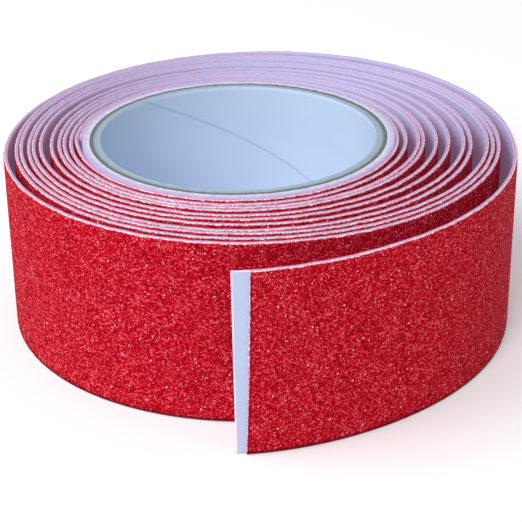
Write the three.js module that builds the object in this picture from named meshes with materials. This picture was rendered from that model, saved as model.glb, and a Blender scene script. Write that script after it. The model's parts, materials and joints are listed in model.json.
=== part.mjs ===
// Roll of anti-slip grit tape on a paperboard core, standing on its edge.
// Millimetres, +Z up. The tape is wound clockwise as seen from above, working outwards.
import * as THREE from 'three';

const tapeWidth = 50;
const radiansPerDegree = Math.PI / 180;

// Paperboard core: rings from the bore outwards, each with its wall thickness.
const boreRadius = 38.1;
const coreWalls = [
  { name: 'core_lining_paper', wall: 0.5, colour: 0xb9c9df, roughness: 0.8 },
  { name: 'core_chipboard', wall: 2.5, colour: 0x8a9490, roughness: 0.95 },
  { name: 'core_white_wrap', wall: 2.05, colour: 0xe4e6f2, roughness: 0.85 },
];

// The tape's layers from the inside of the roll outwards, each with its thickness.
const plies = [
  { name: 'release_liner', thickness: 0.15, colour: 0xdfe6f5, roughness: 0.45 },
  { name: 'adhesive', thickness: 0.1, colour: 0xd9c7b8, roughness: 0.35 },
  { name: 'carrier_film', thickness: 0.2, colour: 0xb01626, roughness: 0.5 },
  { name: 'grit_coat', thickness: 0.65, colour: 0xc3202f, roughness: 0.9 },
];
const tapeThickness = plies.reduce((sum, ply) => sum + ply.thickness, 0);

// Radius of the middle of the tape, as the roll has relaxed on its core: tight on the left, loose
// on the right. Each row is one turn outwards from the left side: back, right, front, left.
const firstRadius = 43.75;
const turnRadii = [
  [43.8, 43.9, 43.9, 44.4],
  [45.6, 46.2, 46.5, 46.3],
  [48.3, 49.7, 48.3, 48.1],
  [50.0, 51.0, 50.0, 49.5],
  [52.5, 54.5, 52.9, 51.6],
  [55.5, 57.9, 55.4, 54.6],
  [59.0, 62.0, 58.3, 56.5],
  [61.0, 63.9, 61.6, 57.7],
  [63.8, 68.4, 63.4, 59.8],
  [65.7, 69.9, 66.1, 61.0],
  [67.3, 71.4, 68.8, 63.5],
];
const quarterTurn = 90;
// The outermost turn springs open, so it has a radius every 30 degrees, up to the free end.
const outerTurnRadii = [63.5, 66.3, 70.2, 73.3, 74.4, 75.2, 77.6, 79.9, 84.0, 88.0];
const outerTurnStep = 30;
const smallestGap = 0.05;

// The core and the wound coil share one set of facets, so that they lie against each other.
const fullTurn = 360;
const coilStep = 12;
const facetsPerTurn = fullTurn / coilStep;
const woundDegrees = turnRadii.length * fullTurn;
// Degrees past the last whole turn where the free tail leaves the coil, and where it ends.
const tailStartAngle = 84;
const tailEndAngle = 271.2;
const coilEnd = woundDegrees + tailStartAngle;
const tailEnd = woundDegrees + tailEndAngle;
// The tail bends at vertical creases, one in front of each of its segments.
const tailSegments = 6;
const facetsPerSegment = 5;
const creaseSlit = 0.3;

// The free end is cut slightly aslant: distances short of the tail's end at the bottom and top.
// The liner sticks out past the grit and its film as a pull tab, wider at the top.
const squareCut = { bottom: 0, top: 0 };
const linerCut = { bottom: 0.95, top: 0.55 };
const gritCut = { bottom: 3.6, top: 5.05 };
const peelLength = 16;
const sameCorner = 0.01;

// Winding angle to azimuth: the winding starts on the left and runs clockwise.
const startAzimuth = 180;
const azimuthOf = (winding) => (startAzimuth - winding) * radiansPerDegree;

// Stations of the spiral: winding angle and radius, from the core to just past the free end.
const stations = [{ winding: 0, radius: firstRadius }];
turnRadii.flat().forEach((radius, index) => {
  stations.push({ winding: (index + 1) * quarterTurn, radius });
});
outerTurnRadii.forEach((radius, index) => {
  stations.push({ winding: woundDegrees + (index + 1) * outerTurnStep, radius });
});

// Slope of the radius at a station, from its two neighbours.
function slopeAt(index) {
  const before = stations[Math.max(index - 1, 0)];
  const after = stations[Math.min(index + 1, stations.length - 1)];
  return (after.radius - before.radius) / (after.winding - before.winding);
}

// Cubic curve through the stations.
function relaxedRadius(winding) {
  let index = stations.findIndex((station) => station.winding > winding) - 1;
  if (index < 0) index = stations.length - 2;
  const from = stations[index];
  const to = stations[index + 1];
  const span = to.winding - from.winding;
  const t = (winding - from.winding) / span;
  const rise = to.radius - from.radius;
  const a = slopeAt(index) * span - rise;
  const b = rise - slopeAt(index + 1) * span;
  return from.radius + t * rise + t * (1 - t) * (a * (1 - t) + b * t);
}

// A turn rests on the turn inside it where the curve would come closer than the tape is thick.
function middleRadius(winding) {
  const relaxed = relaxedRadius(winding);
  if (winding < fullTurn) return relaxed;
  return Math.max(relaxed, middleRadius(winding - fullTurn) + tapeThickness + smallestGap);
}

// Point of the tape at a winding angle, so far out from the tape's inner face.
function tapePoint(winding, depth) {
  const radius = middleRadius(winding) - tapeThickness / 2 + depth;
  const azimuth = azimuthOf(winding);
  return new THREE.Vector2(radius * Math.cos(azimuth), radius * Math.sin(azimuth));
}

// Winding angle that lies a distance along the tape from another one.
function windingAlong(winding, distance) {
  return winding + distance / middleRadius(winding) / radiansPerDegree;
}

function evenSteps(from, to, count) {
  return Array.from({ length: count + 1 }, (_, index) => from + ((to - from) * index) / count);
}

// A closed strip of one ply: its outline runs out along the inner face and back along the outer.
// Its end is cut off at a distance from the last winding, which may differ from bottom to top.
function plyStrip(windings, innerDepth, outerDepth, cut = squareCut) {
  const faces = [innerDepth, outerDepth].map((faceDepth) => (
    windings.map((winding) => tapePoint(winding, faceDepth))
  ));
  const ends = faces.map((points) => {
    const end = points.at(-1);
    const back = points.at(-2).clone().sub(end).normalize();
    end.addScaledVector(back, cut.bottom);
    return { end, lean: back.multiplyScalar(cut.top - cut.bottom) };
  });
  const outline = new THREE.Shape([...faces[0], ...faces[1].reverse()]);
  const strip = new THREE.ExtrudeGeometry(outline, { depth: tapeWidth, bevelEnabled: false });
  if (cut.top !== cut.bottom) leanEnds(strip, ends);
  return strip;
}

// Moves the top corners of a strip's cut end along the tape.
function leanEnds(strip, ends) {
  const position = strip.getAttribute('position');
  for (let i = 0; i < position.count; i += 1) {
    const corner = new THREE.Vector2(position.getX(i), position.getY(i));
    const match = ends.find(({ end }) => end.distanceTo(corner) < sameCorner);
    if (match && position.getZ(i) > tapeWidth / 2) {
      position.setXY(i, corner.x + match.lean.x, corner.y + match.lean.y);
    }
  }
  strip.computeVertexNormals();
}

const roll = new THREE.Group();

function addMesh(name, geometry, look) {
  const material = new THREE.MeshStandardMaterial({
    color: look.colour,
    roughness: look.roughness,
    metalness: 0,
  });
  const mesh = new THREE.Mesh(geometry, material);
  mesh.name = name;
  roll.add(mesh);
}

// Core rings
let ringRadius = boreRadius;
for (const ring of coreWalls) {
  const outline = new THREE.Shape().absarc(0, 0, ringRadius + ring.wall, 0, 2 * Math.PI, false);
  outline.holes.push(new THREE.Path().absarc(0, 0, ringRadius, 0, 2 * Math.PI, true));
  const settings = { depth: tapeWidth, bevelEnabled: false, curveSegments: facetsPerTurn / 2 };
  addMesh(ring.name, new THREE.ExtrudeGeometry(outline, settings), ring);
  ringRadius += ring.wall;
}

// Wound coil: one continuous strip for each ply
const coilWindings = evenSteps(0, coilEnd, coilEnd / coilStep);
let depth = 0;
for (const ply of plies) {
  addMesh(`coil_${ply.name}`, plyStrip(coilWindings, depth, depth + ply.thickness), ply);
  depth += ply.thickness;
}

// Free tail: segments with a slit between them at each crease
const creases = evenSteps(coilEnd, tailEnd, tailSegments);
const halfSlit = creaseSlit / 2;
const peelCrease = windingAlong(tailEnd, -peelLength);
const flapWindings = [
  windingAlong(peelCrease, halfSlit),
  windingAlong(tailEnd, -peelLength / 2),
  tailEnd,
];

function segmentWindings(segment) {
  const start = windingAlong(creases[segment - 1], segment === 1 ? creaseSlit : halfSlit);
  const end = segment === tailSegments ? peelCrease : creases[segment];
  return evenSteps(start, windingAlong(end, -halfSlit), facetsPerSegment);
}

for (let segment = 1; segment <= tailSegments; segment += 1) {
  const windings = segmentWindings(segment);
  let innerDepth = 0;
  for (const ply of plies) {
    const outerDepth = innerDepth + ply.thickness;
    const reachesCutEnd = segment === tailSegments && ply.name !== 'release_liner';
    const strip = reachesCutEnd
      ? plyStrip([...windings, ...flapWindings], innerDepth, outerDepth, gritCut)
      : plyStrip(windings, innerDepth, outerDepth);
    addMesh(`tail${segment}_${ply.name}`, strip, ply);
    innerDepth = outerDepth;
  }
}

// Pull tab: the last of the liner, which peels off the adhesive at its own crease
const liner = plies[0];
addMesh('pull_tab_liner', plyStrip(flapWindings, 0, liner.thickness, linerCut), liner);

// The roll's box is centred on the origin, and it stands on Z = 0.
const centre = new THREE.Box3().setFromObject(roll).getCenter(new THREE.Vector3());
roll.position.set(-centre.x, -centre.y, 0);

const object = new THREE.Group();
object.add(roll);
export default object;
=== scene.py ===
# Roll of anti-slip grit tape on a paperboard core. Metres, +Z up, the frame's own place and size.
import json
import math

import bpy
import numpy as np
from mathutils import Matrix, Vector


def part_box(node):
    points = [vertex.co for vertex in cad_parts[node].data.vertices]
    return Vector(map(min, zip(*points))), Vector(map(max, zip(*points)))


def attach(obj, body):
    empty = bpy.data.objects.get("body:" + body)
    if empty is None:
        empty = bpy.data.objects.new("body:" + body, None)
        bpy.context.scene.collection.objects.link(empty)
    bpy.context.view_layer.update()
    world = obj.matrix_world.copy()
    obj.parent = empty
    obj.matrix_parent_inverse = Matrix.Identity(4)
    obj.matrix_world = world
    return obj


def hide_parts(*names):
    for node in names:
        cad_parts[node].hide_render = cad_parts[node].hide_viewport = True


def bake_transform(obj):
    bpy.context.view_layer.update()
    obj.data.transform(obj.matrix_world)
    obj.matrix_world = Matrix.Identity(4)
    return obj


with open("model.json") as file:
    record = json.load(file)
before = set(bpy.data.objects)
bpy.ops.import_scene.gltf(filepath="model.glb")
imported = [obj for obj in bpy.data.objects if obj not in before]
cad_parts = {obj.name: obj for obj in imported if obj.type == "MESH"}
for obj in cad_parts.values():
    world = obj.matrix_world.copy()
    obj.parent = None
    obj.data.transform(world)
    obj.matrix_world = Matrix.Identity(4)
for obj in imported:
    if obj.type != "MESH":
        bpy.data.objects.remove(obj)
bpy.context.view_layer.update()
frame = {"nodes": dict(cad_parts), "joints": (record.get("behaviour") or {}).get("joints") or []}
millimetre = 0.001
fullTurn = 360                # degrees
liningLow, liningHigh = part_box("core_lining_paper")
axisX = (liningLow.x + liningHigh.x) / 2
axisY = (liningLow.y + liningHigh.y) / 2
tapeWidth = liningHigh.z
liningRadius = (liningHigh.x - liningLow.x) / 2


def paint(red, green, blue):
    # screen colour, 0 to 255, to the linear colour that shaders use: the screen's curve undone
    screen = np.array([red, green, blue]) / 255
    linear = np.where(screen <= 0.04045, screen / 12.92, ((screen + 0.055) / 1.055) ** 2.4)
    return (*linear.tolist(), 1.0)


class Wire:  # one output of a material's nodes: Python's operators on it add the Math nodes they name
    def __init__(self, shader, socket):
        self.shader = shader
        self.socket = socket

    def __add__(self, other):
        return self.shader.math("ADD", self, other)

    def __radd__(self, other):
        return self.shader.math("ADD", other, self)

    def __sub__(self, other):
        return self.shader.math("SUBTRACT", self, other)

    def __rsub__(self, other):
        return self.shader.math("SUBTRACT", other, self)

    def __mul__(self, other):
        return self.shader.math("MULTIPLY", self, other)

    def __rmul__(self, other):
        return self.shader.math("MULTIPLY", other, self)

    def __gt__(self, other):
        return self.shader.math("GREATER_THAN", self, other)

    def __lt__(self, other):
        return self.shader.math("LESS_THAN", self, other)

    def __mod__(self, other):
        return self.shader.math("FLOORED_MODULO", self, other)

    def __abs__(self):
        return self.shader.math("ABSOLUTE", self, 0.0)


class Shader:  # a material with one Principled shader, and short ways to add the nodes that feed it
    def __init__(self, name, **constants):
        self.material = bpy.data.materials.new(name)
        self.material.use_nodes = True
        self.tree = self.material.node_tree
        self.surface = self.tree.nodes["Principled BSDF"]
        for socketName, value in constants.items():
            self.surface.inputs[socketName.replace("_", " ")].default_value = value

    def node(self, kind, settings, values, output=0):
        # any node: its settings first, a ramp's stops among them, then each input's value or wire
        made = self.tree.nodes.new(kind)
        stops = settings.pop("stops", [])
        for key, value in settings.items():
            setattr(made, key, value)
        for index, (position, colour) in enumerate(stops):
            ramp = made.color_ramp.elements
            stop = ramp[index] if index < 2 else ramp.new(position)
            stop.position = position
            stop.color = colour
        for key, value in values.items():
            if isinstance(value, Wire):
                self.tree.links.new(value.socket, made.inputs[key])
            else:
                made.inputs[key].default_value = value
        return Wire(self, made.outputs[output])

    def math(self, operation, first, second):  # one sum on two numbers
        return self.node("ShaderNodeMath", {"operation": operation}, {0: first, 1: second})

    def vector(self, operation, first, second, output=0):  # one sum on two vectors
        return self.node("ShaderNodeVectorMath", {"operation": operation}, {0: first, 1: second}, output)

    def mix(self, factor, first, second):  # two colours: the first where the factor is 0, the second at 1
        settings = {"data_type": "RGBA", "clamp_factor": True}
        return self.node("ShaderNodeMix", settings, {0: factor, 6: first, 7: second}, 2)

    def tapeCoordinates(self, along, across):  # metres along and across the tape, each times a factor
        flat = self.node("ShaderNodeUVMap", {"uv_map": "tape"}, {})
        return self.vector("MULTIPLY", flat, (along, across, 0))

    def place(self):  # where a point of the piece lies, in metres
        return self.node("ShaderNodeTexCoord", {}, {}, "Object")

    def split(self, vector, axis):  # one number of a vector
        return self.node("ShaderNodeSeparateXYZ", {}, {0: vector}, axis)

    def noise(self, vector, scale, detail=3.0, roughness=0.5):  # clouds, 0 to 1, scale of them a metre
        values = {"Vector": vector, "Scale": scale, "Detail": detail, "Roughness": roughness}
        return self.node("ShaderNodeTexNoise", {}, values)

    def cells(self, vector, scale, output):  # flat cells, scale of them a metre: their distance or colour
        settings = {"voronoi_dimensions": "2D", "feature": "F1"}
        return self.node("ShaderNodeTexVoronoi", settings, {"Vector": vector, "Scale": scale}, output)

    def channel(self, colour, index):  # one number of a colour
        return self.node("ShaderNodeSeparateColor", {}, {0: colour}, index)

    def soften(self, value, low, high):  # 0 below low, 1 above high, smooth between
        settings = {"interpolation_type": "SMOOTHSTEP", "clamp": True}
        return self.node("ShaderNodeMapRange", settings, {0: value, 1: low, 2: high, 3: 0.0, 4: 1.0})

    def feed(self, **sockets):  # wires into the Principled shader, named as its sockets are
        for socketName, wire in sockets.items():
            self.tree.links.new(wire.socket, self.surface.inputs[socketName.replace("_", " ")])

    def bump(self, height, distance, strength=1.0):  # a height 0 to 1 stands for the distance in metres
        values = {"Height": height, "Distance": distance, "Strength": strength}
        self.feed(Normal=self.node("ShaderNodeBump", {}, values))


# the winding is read from the CAD nodes: winding angles run from the left of the core, outwards
winding = dict(
    spokeStep=12,                    # degrees between the CAD coil's corners
    startAzimuth=180,
    sameRadius=0.005 * millimetre,   # corners closer than this are one
    sameAngle=0.02,                  # degrees
    samples=40001,
    cutDip=0.00028,                  # how far the upper cut edge wanders below the full width
    cutWaves=(0.0071, 0.0113, 0.0233, 0.047, 0.131),
)
tailCount = 6                        # segments of the free tail


def cornersOf(node):
    # radius, azimuth in degrees and height of a CAD node's corners, round the core's axis
    mesh = frame["nodes"][node].data
    corners = np.empty(len(mesh.vertices) * 3, np.float32)
    mesh.vertices.foreach_get("co", corners)
    corners = corners.reshape(-1, 3).astype(float)
    x = corners[:, 0] - axisX
    y = corners[:, 1] - axisY
    return np.hypot(x, y), np.degrees(np.arctan2(y, x)), corners[:, 2]


def distinct(values, apart):
    # the values in order, each kept if it is more than so far apart from the one before it
    ordered = np.sort(values)
    return ordered[np.insert(np.diff(ordered) > apart, 0, True)]


def coilStations(node):
    # inner radius of the coil's ply at each spoke of each turn, outwards from the core
    radius, azimuth, _ = cornersOf(node)
    step = winding["spokeStep"]
    spokes = fullTurn // step
    spoke = np.rint((winding["startAzimuth"] - azimuth) / step).astype(int) % spokes
    found = []
    for index in range(spokes):
        inner = distinct(radius[spoke == index], winding["sameRadius"])[::2]
        found += [(turn * fullTurn + index * step, r) for turn, r in enumerate(inner)]
    return sorted(found)


def tailStations(nodes, turnsBefore):
    # winding angle and inner radius at each column of the free tail
    radius, azimuth, _ = (np.concatenate(part) for part in zip(*(cornersOf(n) for n in nodes)))
    angles = turnsBefore * fullTurn + winding["startAzimuth"] - azimuth
    near = winding["sameAngle"]
    return [(at, radius[abs(angles - at) < near].min()) for at in distinct(angles, near)]


stations = coilStations("coil_release_liner")
turns = int(stations[-1][0] // fullTurn)
tailNodes = [f"tail{k}_release_liner" for k in range(1, tailCount + 1)] + ["pull_tab_liner"]
stations = np.array(stations + tailStations(tailNodes, turns))
stationSlopes = np.gradient(stations[:, 1], stations[:, 0])


def innerRadius(angles):
    # cubic curve through the stations: position and slope of both neighbours, blended over the span
    i = np.clip(np.searchsorted(stations[:, 0], angles) - 1, 0, len(stations) - 2)
    span = stations[i + 1, 0] - stations[i, 0]
    t = (angles - stations[i, 0]) / span
    rise = stations[i + 1, 1] - stations[i, 1]
    a = stationSlopes[i] * span - rise
    b = rise - stationSlopes[i + 1] * span
    return stations[i, 1] + t * rise + t * (1 - t) * (a * (1 - t) + b * t)


sampleWindings = np.linspace(stations[0, 0], stations[-1, 0], winding["samples"])
sampleRadii = innerRadius(sampleWindings)
sampleAngles = np.radians(winding["startAzimuth"] - sampleWindings)
sampleX = sampleRadii * np.cos(sampleAngles)
sampleY = sampleRadii * np.sin(sampleAngles)
sampleSteps = np.hypot(np.diff(sampleX), np.diff(sampleY))
sampleLengths = np.insert(np.cumsum(sampleSteps), 0, 0.0)
tapeLength = sampleLengths[-1]
random = np.random.default_rng(12)   # one seeded generator for the whole roll


def wander(lengths, depth, waves):
    # how far the cut edge runs below the tape's full width: sines of the given wavelengths, each from
    # a random start, together 0 to depth
    total = sum(np.sin(2 * math.pi * (lengths / wave + random.random())) for wave in waves)
    return depth * (0.5 + 0.5 * total / len(waves))


edgeWander = wander(sampleLengths, winding["cutDip"], winding["cutWaves"])


def lengthAt(angle):
    # length of the tape up to a winding angle
    return float(np.interp(angle, sampleWindings, sampleLengths))


def tapePoints(along, depth, height):
    # the spiral at a length along the tape, a depth outwards from its inner face, and a height
    radius = np.interp(along, sampleLengths, sampleRadii) + depth
    angle = np.radians(winding["startAzimuth"] - np.interp(along, sampleLengths, sampleWindings))
    height = height * (1 - np.interp(along, sampleLengths, edgeWander) / tapeWidth)
    return np.stack([axisX + radius * np.cos(angle), axisY + radius * np.sin(angle), height], -1)


def lengthOfJoint(name):
    # where a joint's axis crosses the tape, as a length along it
    x, y, _ = next(joint["pos_m"] for joint in frame["joints"] if joint["name"] == name)
    azimuth = math.degrees(math.atan2(y - axisY, x - axisX))
    return lengthAt(turns * fullTurn + winding["startAzimuth"] - azimuth)


creases = [lengthOfJoint(f"unwind{k}") for k in range(1, tailCount + 1)]
peelCrease = lengthOfJoint("liner_peel")
middles = [(a + b) / 2 for a, b in zip(creases, creases[1:] + [tapeLength])]
tailBegins = 2 * creases[0] - middles[0]
print(f"tape: {turns} turns and the tail, {tapeLength:.3f} m long")

# the tape's layers from the inside of the roll outwards, in millimetres
thickness = dict(release_liner=0.15, adhesive=0.1, carrier_film=0.2, grit_coat=0.65)
layers = np.cumsum([0] + list(thickness.values())) * millimetre

strips = dict(
    bevel=0.00032,            # how much of the grit coat breaks away along its cut rims
    relief=0.00017,           # how far the hollows between the grains go in
    grainStep=0.00042,        # distance between the points of the detailed grit
    sideShift=0.3,            # how far a grain's point may stray, as a share of the step
    innerGrainStep=0.0007,
    ragged=0.00016,           # how far the cut rim is chipped
    # the shares of that by which the top rim's three rows sink, outermost first, and by which its
    # outermost row and the bottom one stand back
    chipDown=(1.0, 0.6, 0.3),
    chipIn=0.8,
    smoothStep=0.0012,
    closingColumns=12,        # columns that a smooth stretch has besides, drawn together at its ends
    closingStep=0.03,         # share of a full step that the outermost column has
    closingGrowth=1.6,        # and how many times more each next one has
    clearance=0.000004,       # between the plies
    cutBow=0.00025,           # how far the scissor cut at the free end is hollow
    detailed=564,             # degrees back from the free end that show, where each grain is modelled
    innerPieces=4,
    outerPieces=3,
)
bevel = strips["bevel"]

gritLook = dict(
    grainsPerMetre=2700,
    finePerMetre=3900,
    patchesPerMetre=210,
    # the level of a grain's tone, 0 to 1: a base, and the weights of its own shade and of both noises
    base=0.06,
    shadeWeight=0.78,
    fineWeight=1.7,
    patchWeight=0.2,
    # the levels where pitShade, deepRed, red, brightRed and glint stand: the lowest is painted shade, the
    # highest a painted glint
    levels=(0.0, 0.25, 0.6, 0.86, 1.0),
    pitShade=paint(126, 0, 6),
    deepRed=paint(172, 0, 20),
    red=paint(211, 24, 44),
    brightRed=paint(243, 74, 94),
    glint=paint(255, 172, 182),
    hollowFrom=0.4,       # distances from a grain's middle, in cells, between which painted shade darkens it towards its rim
    hollowTo=0.85,
    hollowShadeShare=0.5,
    glintGrain=paint(255, 216, 224),
    glintGrainShare=0.0045,     # share of the grains painted pale as glints
    glintGrainRadius=0.5,       # in cells
    roughness=0.6,
    roughnessSpread=0.2,
    grainHeight=0.00012,
    bumpStrength=0.8,
    crumb=paint(255, 214, 228),
    crumbReach=0.00025,   # how far from the free end the broken white crumbs sit
    crumbScatter=0.9,     # how much a grain's own shade counts against its nearness to the end
    crumbLimit=0.95,      # and what both together pass where a crumb sits
    contactShade=paint(88, 6, 16),
    contactShadeReach=0.0012,     # how far up the wall the painted contact shade reaches
    contactShadeShare=0.9,
    endShade=paint(128, 8, 44),
    endShadeReach=0.0009,  # how far behind the free end the painted shade along the coat's cut end reaches
    endShadeShare=0.7,
)


def gritMaterial(look):
    # cells for the grains, each of a tone by its own shade and two noises, with painted shade in the hollows
    # between them and a few grains painted as glints; then painted shade at the foot and along the cut end,
    # and the white crumbs at the free end
    shader = Shader("gritFace", Specular_IOR_Level=0.01)
    flat = shader.tapeCoordinates(1, 1)
    grain = shader.cells(flat, look["grainsPerMetre"], "Color")
    hollow = shader.cells(flat, look["grainsPerMetre"], "Distance")
    shade = shader.channel(grain, 0)
    chance = shader.channel(grain, 1)
    fine = shader.noise(flat, look["finePerMetre"], 2.0, 0.7)
    patches = shader.noise(flat, look["patchesPerMetre"], 4.0)
    level = shade * look["shadeWeight"] + (fine - 0.5) * look["fineWeight"] + look["base"]
    level = level + (patches - 0.5) * look["patchWeight"]
    colours = [look[name] for name in ("pitShade", "deepRed", "red", "brightRed", "glint")]
    stops = list(zip(look["levels"], colours))
    tone = shader.node("ShaderNodeValToRGB", {"stops": stops}, {0: level})
    # painted shade: each grain darkens towards its rim, where the hollows between the grains lie in shade
    hollowShade = shader.soften(hollow, look["hollowFrom"], look["hollowTo"]) * look["hollowShadeShare"]
    tone = shader.mix(hollowShade, tone, look["pitShade"])
    # painted highlight: a few grains painted pale as glints of light
    glinting = (chance < look["glintGrainShare"]) * (hollow < look["glintGrainRadius"])
    tone = shader.mix(glinting, tone, look["glintGrain"])
    # painted shade: a dark stripe along the coat's cut end
    beyond = shader.split(flat, 0) - tapeLength
    endShade = shader.soften(beyond, -look["endShadeReach"], -look["endShadeReach"] / 2)
    tone = shader.mix(endShade * look["endShadeShare"], tone, look["endShade"])
    reach = shader.soften(beyond, -look["crumbReach"], 0.0)
    crumbs = (reach + shade * look["crumbScatter"]) > look["crumbLimit"]
    tone = shader.mix(crumbs * (reach > 0.02), tone, look["crumb"])
    # painted contact shade: the wall darkens towards the floor
    contactShaded = 1 - shader.soften(shader.split(flat, 1), bevel, bevel + look["contactShadeReach"])
    tone = shader.mix(contactShaded * look["contactShadeShare"], tone, look["contactShade"])
    shader.feed(Base_Color=tone)
    shader.feed(Roughness=look["roughness"] - chance * look["roughnessSpread"])
    shader.bump((1 - hollow) * (0.5 + shade) + fine, look["grainHeight"], look["bumpStrength"])
    return shader.material


cutLook = dict(
    grainsPerMetre=3500,
    lilac=paint(234, 200, 236),
    mauve=paint(224, 150, 192),
    mauveShare=0.8,
    pink=paint(252, 164, 202),
    white=paint(255, 244, 253),
    red=paint(200, 6, 44),
    whiteShare=0.68,
    glintShare=0.12,
    uneven=0.0003,        # how much further in the borders lie in one grain than in another
    redReach=0.00026,     # how far the colour coat shows from the wall into the broken rim
    redFade=0.0001,
    brokenReach=0.00078,  # how far the broken grains reach into the cut; their white is partly painted glint
    brokenFade=0.0002,
    # painted contact shade on the rim the roll stands on
    contactShade=paint(88, 6, 16),
    contactShadeStart=2 * tapeWidth + 0.0006,  # length round the coat's section up to the rim it stands on
    roughness=0.5,
    roughnessSpread=0.25,
    grainHeight=0.00012,
    bumpStrength=0.7,
)


def cutMaterial(look):
    # the grit coat's cut edges: red next to the wall, then broken pink and white grains, the white partly
    # painted glint, then lilac resin, by the length round the section from the wall's top; painted contact
    # shade on the rim underneath
    shader = Shader("gritCut", Specular_IOR_Level=0.4)
    flat = shader.tapeCoordinates(1, 1)
    grain = shader.cells(flat, look["grainsPerMetre"], "Color")
    hollow = shader.cells(flat, look["grainsPerMetre"], "Distance")
    shade = shader.channel(grain, 0)
    chance = shader.channel(grain, 2)
    around = shader.split(flat, 1)
    inwards = around - (tapeWidth - bevel) + (shade - 0.5) * look["uneven"]
    inResin = shader.soften(inwards, look["brokenReach"] - look["brokenFade"], look["brokenReach"])
    pastRed = shader.soften(inwards, look["redReach"] - look["redFade"], look["redReach"])
    resin = shader.mix(shade * look["mauveShare"], look["lilac"], look["mauve"])
    # partly painted highlight: the white specks in the resin and the white among the broken grains stand in
    # for glints
    resin = shader.mix(chance < look["glintShare"], resin, look["white"])
    brokenGlinting = shader.mix(chance > 1 - look["whiteShare"], look["pink"], look["white"])
    tone = shader.mix(inResin, brokenGlinting, resin)
    tone = shader.mix(pastRed, look["red"], tone)
    # painted contact shade on the rim underneath
    tone = shader.mix(around > look["contactShadeStart"], tone, look["contactShade"])
    shader.feed(Base_Color=tone)
    shader.feed(Roughness=look["roughness"] - shade * look["roughnessSpread"])
    shader.bump(1 - hollow, look["grainHeight"], look["bumpStrength"])
    return shader.material


linerLook = dict(
    coated=(paint(178, 200, 225), paint(160, 179, 205)),
    plain=(paint(194, 204, 246), paint(176, 184, 232)),
    coatedRoughness=0.34,
    plainRoughness=0.6,
    roughnessSpread=0.15,
    paintedGlow=0.1,             # painted light: the paper glows faintly all over, so it stays light deep in the gaps between the turns
    paintedGlowColour=paint(246, 200, 255),
    cloudsPerMetre=90,
    fibres=(900, 4000),   # fibres a metre along the tape and across it
    cloudShare=0.7,       # how much of the tone the clouds set, and how much the fibres
    fibreShare=0.3,
    relief=0.00004,
    bumpStrength=0.4,
    rimHighlight=paint(255, 226, 242),
    rimHighlightReach=0.0005,   # how far in from the end and the top rim the painted highlight reaches
)


def linerMaterial(name, tones, roughness, paintsRimHighlight, look):
    # release paper: two tones mixed by faint clouds and long fibres; where set, a painted highlight, pale
    # within a reach of the nearer of its end and its top rim
    # painted light: both release papers glow faintly, which lifts them in the shaded gaps between the turns
    shader = Shader(name, Specular_IOR_Level=0.4, Emission_Color=look["paintedGlowColour"],
                    Emission_Strength=look["paintedGlow"])
    flat = shader.tapeCoordinates(1, 1)
    clouds = shader.noise(flat, look["cloudsPerMetre"], 4.0)
    fibres = shader.noise(shader.tapeCoordinates(*look["fibres"]), 1.0, 3.0)
    tone = shader.mix(clouds * look["cloudShare"] + fibres * look["fibreShare"], *tones)
    if paintsRimHighlight:
        # painted highlight: the lit edges at the paper's end and top rim are painted pale
        end = shader.split(flat, 0) - tapeLength
        rim = shader.split(flat, 1) - tapeWidth
        reach = look["rimHighlightReach"]
        rimLit = shader.soften(shader.math("MAXIMUM", end, rim), -reach, -reach / 2)
        tone = shader.mix(rimLit, tone, look["rimHighlight"])
    shader.feed(Base_Color=tone)
    shader.feed(Roughness=roughness + clouds * look["roughnessSpread"])
    shader.bump(fibres * 0.5 + clouds, look["relief"], look["bumpStrength"])
    return shader.material


# smooth layers and their cut edges: two tones, roughness, and flecks a metre
layerLooks = dict(
    linerCut=(paint(226, 204, 242), paint(210, 182, 224), 0.5, 3000),
    filmFace=(paint(206, 60, 80), paint(180, 30, 50), 0.4, 400),
    filmCut=(paint(224, 164, 200), paint(206, 124, 166), 0.4, 2600),
    adhesiveFace=(paint(232, 196, 204), paint(220, 170, 182), 0.3, 300),
    adhesiveCut=(paint(222, 180, 218), paint(204, 148, 190), 0.35, 2600),
    liningCut=(paint(178, 197, 216), paint(162, 182, 202), 0.8, 2500),
)
fleckLook = dict(roughnessSpread=0.15, relief=0.00003, bumpStrength=0.5)


def layerMaterial(name, colour, shade, roughness, flecksPerMetre):
    # two tones mixed by flecks of noise, which also make it rougher and stand proud
    shader = Shader(name, Specular_IOR_Level=0.4)
    flecks = shader.noise(shader.tapeCoordinates(1, 1), flecksPerMetre, 3.0)
    shader.feed(Base_Color=shader.mix(flecks, colour, shade))
    shader.feed(Roughness=roughness + flecks * fleckLook["roughnessSpread"])
    shader.bump(flecks, fleckLook["relief"], fleckLook["bumpStrength"])
    return shader.material


coreLook = dict(
    lining=paint(206, 222, 243),
    liningShade=paint(196, 212, 235),
    seam=paint(158, 176, 208),
    seamShare=0.45,
    seamSlope=0.526,          # fall of the lining's spiral seam for each metre round the bore
    seamStart=0.1282,         # height of the seam's line where the round starts
    seamWidth=0.0008,
    seamWaver=0.0004,         # how far the seam's line strays
    lapWidth=0.0003,          # half the width of the step where the lining laps over itself
    lapHeight=2,              # height of that step, in the height of the paper's own clouds
    liningClouds=70,          # clouds and fibres a metre
    liningFibres=1800,
    liningRelief=0.00005,
    liningRoughness=(0.7, 0.2),   # at least, and spread
    # the board's two tones, pale near the bore, the radii between which they change, and their scatter
    board=(paint(168, 187, 200), paint(118, 125, 120), 0.0394, 0.0404, 0.0008),
    wrap=(paint(234, 231, 253), paint(200, 182, 226), 0.0408, 0.0437, 0.005),
    boardFibres=2500,         # fibres and clumps of them a metre, and what each counts in the scatter
    boardClumps=500,
    fibreShare=0.4,
    clumpShare=0.6,
    boardRelief=0.0001,
    boardRoughness=(0.85, 0.15),
)


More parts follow.
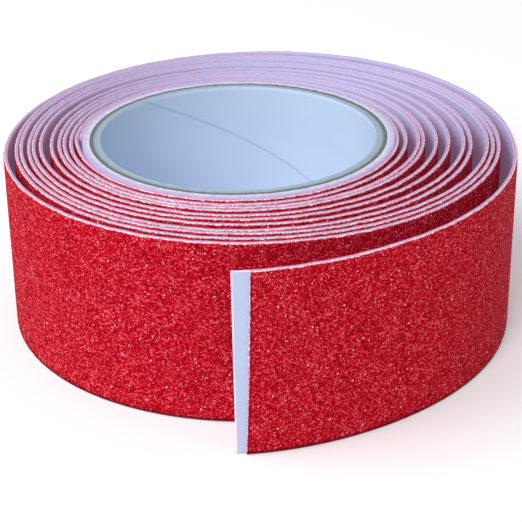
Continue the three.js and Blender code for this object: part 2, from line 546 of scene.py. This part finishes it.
def liningMaterial(look):
    # clouded paper with a spiral seam: a line of height minus slope times the way round, repeated
    # after each pitch, dark on the line and raised on one side of it
    shader = Shader("coreLining", Specular_IOR_Level=0.25)
    flat = shader.tapeCoordinates(1, 1)
    clouds = shader.noise(flat, look["liningClouds"], 5.0)
    fibres = shader.noise(flat, look["liningFibres"], 3.0)
    tone = shader.mix(clouds, look["lining"], look["liningShade"])
    pitch = look["seamSlope"] * 2 * math.pi * liningRadius
    line = shader.split(flat, 1) + shader.split(flat, 0) * look["seamSlope"] - look["seamStart"]
    beside = (line + (pitch / 2)) % pitch - (pitch / 2)
    seam = 1 - shader.soften(abs(beside + (clouds - 0.5) * look["seamWaver"]), 0.0, look["seamWidth"])
    shader.feed(Base_Color=shader.mix(seam * look["seamShare"], tone, look["seam"]))
    least, spread = look["liningRoughness"]
    shader.feed(Roughness=least + fibres * spread)
    lapped = shader.soften(beside, -look["lapWidth"], look["lapWidth"])
    shader.bump(fibres * 0.3 + clouds + lapped * look["lapHeight"], look["liningRelief"], 0.6)
    return shader.material


def boardMaterial(name, pale, dark, inner, outer, scatter, look):
    # cut paperboard: pale to dark by the distance from the axis, the change scattered by fibres
    shader = Shader(name, Specular_IOR_Level=0.2)
    place = shader.place()
    fibres = shader.noise(place, look["boardFibres"], 4.0, 0.7)
    clumps = shader.noise(place, look["boardClumps"], 3.0)
    fromAxis = shader.vector("SUBTRACT", place, (axisX, axisY, 0))
    level = shader.vector("MULTIPLY", fromAxis, (1, 1, 0))
    radius = shader.node("ShaderNodeVectorMath", {"operation": "LENGTH"}, {0: level}, 1)
    strayed = fibres * look["fibreShare"] + clumps * look["clumpShare"] - 0.5
    share = shader.soften(radius + strayed * scatter, inner, outer)
    least, spread = look["boardRoughness"]
    shader.feed(Base_Color=shader.mix(share, pale, dark))
    shader.feed(Roughness=least + fibres * spread)
    shader.bump(fibres + clumps, look["boardRelief"], 0.8)
    return shader.material


materials = dict(
    grit=gritMaterial(gritLook),
    gritCut=cutMaterial(cutLook),
    liner=linerMaterial("linerCoated", linerLook["coated"], linerLook["coatedRoughness"], True, linerLook),
    linerBack=linerMaterial("linerPlain", linerLook["plain"], linerLook["plainRoughness"], False, linerLook),
    lining=liningMaterial(coreLook),
    board=boardMaterial("coreBoard", *coreLook["board"], coreLook),
    wrap=boardMaterial("coreWrap", *coreLook["wrap"], coreLook),
)
materials.update((name, layerMaterial(name, *values)) for name, values in layerLooks.items())
print("materials:", len(materials))


def makeMesh(name, points, corners, sizes, flatMap, slots, smooth, materialList):
    # an object from arrays: all faces' corner numbers in a row, and each face's count of them
    mesh = bpy.data.meshes.new(name)
    mesh.vertices.add(len(points))
    mesh.vertices.foreach_set("co", points.astype(np.float32).ravel())
    mesh.loops.add(len(corners))
    mesh.loops.foreach_set("vertex_index", corners.astype(np.int32))
    mesh.polygons.add(len(sizes))
    starts = np.insert(np.cumsum(sizes)[:-1], 0, 0)
    mesh.polygons.foreach_set("loop_start", starts.astype(np.int32))
    mesh.polygons.foreach_set("material_index", slots.astype(np.int32))
    mesh.polygons.foreach_set("use_smooth", smooth.astype(bool))
    layer = mesh.uv_layers.new(name="tape")
    layer.data.foreach_set("uv", flatMap.astype(np.float32).ravel())
    mesh.update(calc_edges=True)
    mesh.validate()
    for material in materialList:
        mesh.materials.append(material)
    piece = bpy.data.objects.new(name, mesh)
    bpy.context.scene.collection.objects.link(piece)
    return piece


def quadMap(u0, u1, v0, v1):
    # flat map of four-cornered faces: each face's own range of u and of v, corner by corner
    corners = [(u0, v0), (u0, v1), (u1, v1), (u1, v0)]
    return np.stack([np.stack(corner, -1) for corner in corners], 2).reshape(-1, 2)


def capMap(depths, heights):
    # flat map of a strip's end: height, and how far in from the outer wall, counted from the wall's top
    return np.stack([heights, tapeWidth - bevel + depths.max() - depths], -1)


def loopStrip(name, points, depths, heights, along, around, rowSlots, rowSmooth, materialList):
    # a closed section carried along a path: points[column, row], faces between neighbouring columns
    # and rows, and a flat face on each end
    columns, rows = points.shape[:2]
    index = np.arange(columns * rows).reshape(columns, rows)
    nextRow = np.roll(index, -1, axis=1)
    quads = np.stack([index[:-1], nextRow[:-1], nextRow[1:], index[1:]], -1).reshape(-1, 4)
    columnMap = np.broadcast_to(along[:, None], (columns, rows))
    rowMap = np.broadcast_to(around[None], (columns - 1, rows + 1))
    sides = quadMap(columnMap[:-1], columnMap[1:], rowMap[:, :-1], rowMap[:, 1:])
    firstCap = capMap(depths[0], heights[0])[::-1]
    lastCap = capMap(depths[-1], heights[-1])
    corners = np.concatenate([quads.ravel(), index[0, ::-1], index[-1]])
    sizes = np.concatenate([np.full(len(quads), 4), [rows, rows]])
    slots = np.concatenate([np.tile(rowSlots, columns - 1), [1, 1]])
    smooth = np.concatenate([np.tile(rowSmooth, columns - 1), [0, 0]])
    flatMap = np.concatenate([sides, firstCap, lastCap])
    return makeMesh(name, points.reshape(-1, 3), corners, sizes, flatMap, slots, smooth, materialList)


def plySection(inner, outer, wallHeights, backHeights):
    # one ply's section: up the outer wall, in over the top rim, down the inner wall, out again below
    middle = max(outer - bevel, (inner + outer) / 2)
    depth = np.concatenate([np.full(len(wallHeights), outer), [middle],
                            np.full(len(backHeights), inner), [middle]])
    height = np.concatenate([wallHeights, [tapeWidth], backHeights[::-1], [0.0]])
    wall = len(wallHeights)
    slots = np.zeros(len(depth), int)
    slots[wall - 1:wall + 1] = 1
    slots[wall + 1:] = 2
    slots[-2:] = 1
    step = np.hypot(np.diff(np.append(depth, depth[0])), np.diff(np.append(height, height[0])))
    around = np.insert(np.cumsum(step), 0, 0.0) + height[0]
    return depth, height, slots, around


def rimHeights(fine, count, middleCount):
    # rows close together near both rims, wide apart between
    near = np.linspace(0, fine, count)
    between = np.linspace(fine, tapeWidth - fine, middleCount + 2)[1:-1]
    return np.concatenate([near, between, tapeWidth - near[::-1]])


def plainWall(step):
    # heights of the rows on a ply's outer and inner wall: the two rims
    return np.array([0.0, tapeWidth]), np.array([0.0, tapeWidth])


def smoothWall(step):
    # three rows over 2 mm at each rim of both walls, and three between
    heights = rimHeights(2 * millimetre, 3, 3)
    return heights, heights


def gritWall(step):
    # between the bevels: rows a step apart in the detailed grit, else eight over 5 mm at each rim and
    # three between
    _, back = plainWall(step)
    if step <= strips["grainStep"]:
        return np.linspace(bevel, tapeWidth - bevel, int(tapeWidth / step) + 1), back
    return rimHeights(5 * millimetre, 8, 3) * (1 - 2 * bevel / tapeWidth) + bevel, back


def cutLine(node, bow, height):
    # length along the tape where a layer is cut: straight between the CAD's corners, pulled in by the bow
    _, azimuth, z = cornersOf(node)
    angles = turns * fullTurn + winding["startAzimuth"] - azimuth
    top = lengthAt(angles[z > tapeWidth / 2].max())
    bottom = lengthAt(angles[z < tapeWidth / 2].max())
    share = height / tapeWidth
    return bottom + (top - bottom) * share - bow * np.sin(math.pi * share)


def stretchOf(first, last, step, closing):
    # evenly spaced columns; where closing is set, they draw together towards both ends, each step a
    # growing share of a full one, so that the shading of two smooth neighbours meets
    count = max(2, int(math.ceil((last - first) / step)))
    if not closing:
        return first + (last - first) * np.arange(count + 1) / count
    count += strips["closingColumns"]
    fromEnd = np.minimum(np.arange(count), np.arange(count)[::-1])
    fromEnd = np.minimum(fromEnd, strips["closingColumns"])
    steps = np.minimum(1.0, strips["closingStep"] * strips["closingGrowth"] ** fromEnd)
    return first + (last - first) * np.insert(np.cumsum(steps), 0, 0.0) / steps.sum()


def roughen(depths, heights, shifts, wallHeights, step):
    # the grit's grains: hollows of a random number to the power 1.5 in the wall, its points strayed both
    # ways along it by a share of their spacing, and the top rim chipped down and back
    count = len(depths)
    wall = len(wallHeights)
    stray = 2 * strips["sideShift"]
    depths[:, :wall] -= strips["relief"] * random.random((count, wall)) ** 1.5
    shifts[1:-1, 1:wall - 1] = (random.random((count - 2, wall - 2)) - 0.5) * stray * step
    rowGap = np.minimum(np.diff(wallHeights)[:-1], np.diff(wallHeights)[1:])
    heights[:, 1:wall - 1] += (random.random((count, wall - 2)) - 0.5) * stray * rowGap
    chipped = random.random((count, 3)) * strips["ragged"]
    heights[:, wall - 1:wall + 2] -= chipped * strips["chipDown"]
    depths[:, [wall - 1, 0]] -= chipped[:, 1:] * strips["chipIn"]


def rideTape(piece, node, kind, k):
    # coil pieces stay on the root; a bend's piece and the liner's own end keep their place, their CAD parts
    # hidden; the end rides on the last segment
    if kind == "coil":
        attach(piece, "root")
        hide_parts(f"coil_{node}")
    elif kind == "bend":
        bodies = ["root"] + [f"tail{i}" for i in range(1, tailCount + 1)]
        start = tailBegins if k == 0 else middles[k - 1]
        bodies[k + 1]
        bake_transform(piece)
        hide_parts(f"tail{k + 1}_{node}")
    elif kind == "end":
        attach(piece, f"tail{tailCount}")
    else:
        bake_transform(piece)
        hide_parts("pull_tab_liner")


def buildPly(label, node, layer, stretches, wallRows, smooth, faces):
    # a ply of the tape in pieces that share a column: stretches holds name, from, to, step, kind and
    # number in order along the tape, faces its materials on the wall, in the cuts and on the back
    inner = layers[layer] + strips["clearance"]
    outer = layers[layer + 1]
    made = []
    edge = None
    for name, first, last, step, kind, k in stretches:
        along = stretchOf(first, last, step, smooth)
        wallHeights, backHeights = wallRows(step)
        depth, height, slots, around = plySection(inner, outer, wallHeights, backHeights)
        wall = len(wallHeights)
        depths = np.tile(depth, (len(along), 1))
        heights = np.tile(height, (len(along), 1))
        shifts = np.zeros(depths.shape)
        if label == "grit":
            roughen(depths, heights, shifts, wallHeights, step)
        if edge is not None and edge.shape[1] == len(depth):
            depths[0], heights[0] = edge
        edge = np.stack([depths[-1], heights[-1]])
        places = along[:, None] + shifts
        if kind in ("end", "peel"):
            cutNode = f"tail{tailCount}_{node}" if kind == "end" else "pull_tab_liner"
            bow = strips["cutBow"] if kind == "end" else 0.0
            reach = (along - first) / (last - first)
            places = places - reach[:, None] * (tapeLength - cutLine(cutNode, bow, heights))
        rowSmooth = np.zeros(len(depth), int)
        if smooth:
            rowSmooth[:wall - 1] = 1
            rowSmooth[wall + 1:-2] = 1
        points = tapePoints(places, depths, heights)
        looks = [materials[face] for face in faces]
        piece = loopStrip(name, points, depths, heights, along, around, slots, rowSmooth, looks)
        made.append((piece, kind, k))
    for piece, kind, k in made:
        rideTape(piece, node, kind, k)
    print(label)


def coilStretches(names, first, last, step):
    # equal pieces of the wound coil from one length to another
    cuts = np.linspace(first, last, len(names) + 1)
    return [(name, cuts[i], cuts[i + 1], step, "coil", 0) for i, name in enumerate(names)]


def tailStretches(label, step):
    # one piece over each crease, from one segment's middle to the next, and one up to the free end
    edges = [tailBegins] + middles
    found = [(f"{label}Bend{k + 1}", edges[k], edges[k + 1], step, "bend", k) for k in range(tailCount)]
    return found + [(f"{label}End", edges[-1], tapeLength, step, "peel" if label == "liner" else "end", 0)]


def buildGrit():
    # the grit coat: coarse where other turns hide it, and grain by grain from there to the free end
    step = strips["grainStep"]
    shown = lengthAt(sampleWindings[-1] - strips["detailed"])
    innerNames = [f"gritCoil{i + 1}" for i in range(strips["innerPieces"])]
    outerNames = [f"gritOuter{i + 1}" for i in range(strips["outerPieces"])]
    stretches = coilStretches(innerNames, 0, shown, strips["innerGrainStep"])
    stretches += coilStretches(outerNames, shown, tailBegins, step) + tailStretches("grit", step)
    buildPly("grit", "grit_coat", 3, stretches, gritWall, False, ("grit", "gritCut", "grit"))


def buildSmoothPly(label, node, layer, wallRows, faces):
    # a smooth layer: one piece for the whole coil, then the tail's
    step = strips["smoothStep"]
    stretches = coilStretches([f"{label}Coil"], 0.0, tailBegins, step) + tailStretches(label, step)
    buildPly(label, node, layer, stretches, wallRows, True, faces)


buildGrit()
buildSmoothPly("liner", "release_liner", 0, smoothWall, ("liner", "linerCut", "linerBack"))
buildSmoothPly("adhesive", "adhesive", 1, plainWall, ("adhesiveFace", "adhesiveCut", "adhesiveFace"))
buildSmoothPly("film", "carrier_film", 2, plainWall, ("filmFace", "filmCut", "filmFace"))

core = dict(
    spokes=360,
    wallRows=41,
    rimRows=5,
    # for each ring: CAD node, record slot, materials of wall and cut, and how far its cut is eaten away
    rings=dict(
        coreLining=("core_lining_paper", "core_lining", "lining", "liningCut", 0.00005),
        coreBoard=("core_chipboard", "core_board", "board", "board", 0.00015),
        coreWrap=("core_white_wrap", "core_wrap", "wrap", "wrap", 0.0001),
    ),
)


def buildRing(name, node, slot, wallFace, cutFace, bite):
    # a tube of paperboard: its section goes round with the azimuth, its top cut lowered at random
    radii = cornersOf(node)[0]
    inner = radii.min()
    outer = radii.max()
    around = np.radians(np.linspace(0, fullTurn, core["spokes"] + 1)[:-1])
    wall = np.linspace(0, tapeWidth, core["wallRows"])
    across = np.linspace(inner, outer, core["rimRows"])
    rim = len(across) - 2
    radius = np.concatenate([np.full(len(wall), outer), across[::-1][1:-1],
                             np.full(len(wall), inner), across[1:-1]])
    height = np.concatenate([wall, np.full(rim, tapeWidth), wall[::-1], np.zeros(rim)])
    heights = np.tile(height, (len(around), 1))
    onTop = heights > tapeWidth - 1e-9
    heights = heights - onTop * random.random(heights.shape) * bite
    angle = -around[:, None]
    points = np.stack([axisX + radius * np.cos(angle), axisY + radius * np.sin(angle), heights], -1)
    index = np.arange(heights.size).reshape(heights.shape)
    right = np.roll(index, -1, axis=0)
    quads = np.stack([index, np.roll(index, -1, axis=1), np.roll(right, -1, axis=1), right], -1)
    slots = np.zeros(len(radius), int)
    slots[len(wall) - 1:len(wall) + rim] = 1
    slots[-rim - 1:] = 1
    u = np.broadcast_to((around * inner)[:, None], heights.shape)
    v = np.broadcast_to(height[None], heights.shape)
    flatMap = quadMap(u, u + inner * (around[1] - around[0]), v, np.roll(v, -1, axis=1))
    piece = makeMesh(name, points.reshape(-1, 3), quads.ravel(), np.full(index.size, 4), flatMap,
                     np.tile(slots, len(around)), np.tile(1 - slots, len(around)),
                     [materials[wallFace], materials[cutFace]])
    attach(piece, "root")
    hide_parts(node)


for name, values in core["rings"].items():
    buildRing(name, *values)
print("core")

studio = dict(
    floorSize=8.0,
    floorDrop=0.0002,
    floorColour=paint(250, 250, 250),
    floorGlow=0.2,
    worldStrength=0.44,
    worldColour=paint(246, 249, 255),
    # name, direction from the roll, distance in metres, size in metres, power in watts
    lamps=[("key", (-0.62, -0.1, 0.8), 2.5, 1.6, 21.5),
           ("fill", (-0.34, -0.74, 0.6), 2.5, 1.2, 28.0)],
)


def buildStudio(values):
    # a square floor just below the roll, an even sky, and round lamps that face the roll
    half = values["floorSize"] / 2
    corners = [(-half, -half, 0), (half, -half, 0), (half, half, 0), (-half, half, 0)]
    mesh = bpy.data.meshes.new("floor")
    mesh.from_pydata(corners, [], [(0, 1, 2, 3)])
    floor = bpy.data.objects.new("floor", mesh)
    bpy.context.scene.collection.objects.link(floor)
    shader = Shader("floorPaint", Roughness=0.9, Specular_IOR_Level=0.1, Base_Color=values["floorColour"],
                    Emission_Color=values["floorColour"], Emission_Strength=values["floorGlow"])
    mesh.materials.append(shader.material)
    floor.location.z = -values["floorDrop"]
    world = bpy.data.worlds.new("studio")
    bpy.context.scene.world = world
    world.use_nodes = True
    background = world.node_tree.nodes["Background"]
    background.inputs["Color"].default_value = values["worldColour"]
    background.inputs["Strength"].default_value = values["worldStrength"]
    for name, direction, distance, size, power in values["lamps"]:
        lamp = bpy.data.lights.new(name, "AREA")
        lamp.energy = power
        lamp.shape = "DISK"
        lamp.size = size
        placed = bpy.data.objects.new(name, lamp)
        bpy.context.scene.collection.objects.link(placed)
        placed.location = Vector(direction).normalized() * distance
        placed.rotation_euler = placed.location.to_track_quat("Z", "Y").to_euler()


cameraLook = dict(
    lens=109.8,
    sensor=36,
    pitch=26.37,                 # degrees that the view looks down
    roll=-0.63,                  # degrees that the camera leans
    distance=0.3694,
    target=(0.00583, -0.07899),  # from the core's axis, at the roll's top
    nearest=0.01,                # closest distance that is drawn
)


def buildCamera(values):
    # looks along +Y tilted down by the pitch, turned about its own view by the roll, its place a
    # distance back from the target
    pitch = math.radians(values["pitch"])
    roll = math.radians(values["roll"])
    forward = Vector((0, math.cos(pitch), -math.sin(pitch)))
    right = Vector((1, 0, 0))
    up = right.cross(forward)
    side = math.cos(roll) * right + math.sin(roll) * up
    top = -math.sin(roll) * right + math.cos(roll) * up
    target = Vector((axisX + values["target"][0], axisY + values["target"][1], tapeWidth))
    place = target - forward * values["distance"]
    data = bpy.data.cameras.new("camera")
    data.lens = values["lens"]
    data.sensor_width = values["sensor"]
    data.clip_start = values["nearest"]
    camera = bpy.data.objects.new("camera", data)
    bpy.context.scene.collection.objects.link(camera)
    camera.matrix_world = Matrix((
        (side.x, top.x, -forward.x, place.x),
        (side.y, top.y, -forward.y, place.y),
        (side.z, top.z, -forward.z, place.z),
        (0, 0, 0, 1)))
    bpy.context.scene.camera = camera


buildStudio(studio)
buildCamera(cameraLook)
bpy.context.scene.view_settings.view_transform = "Standard"
print("studio")
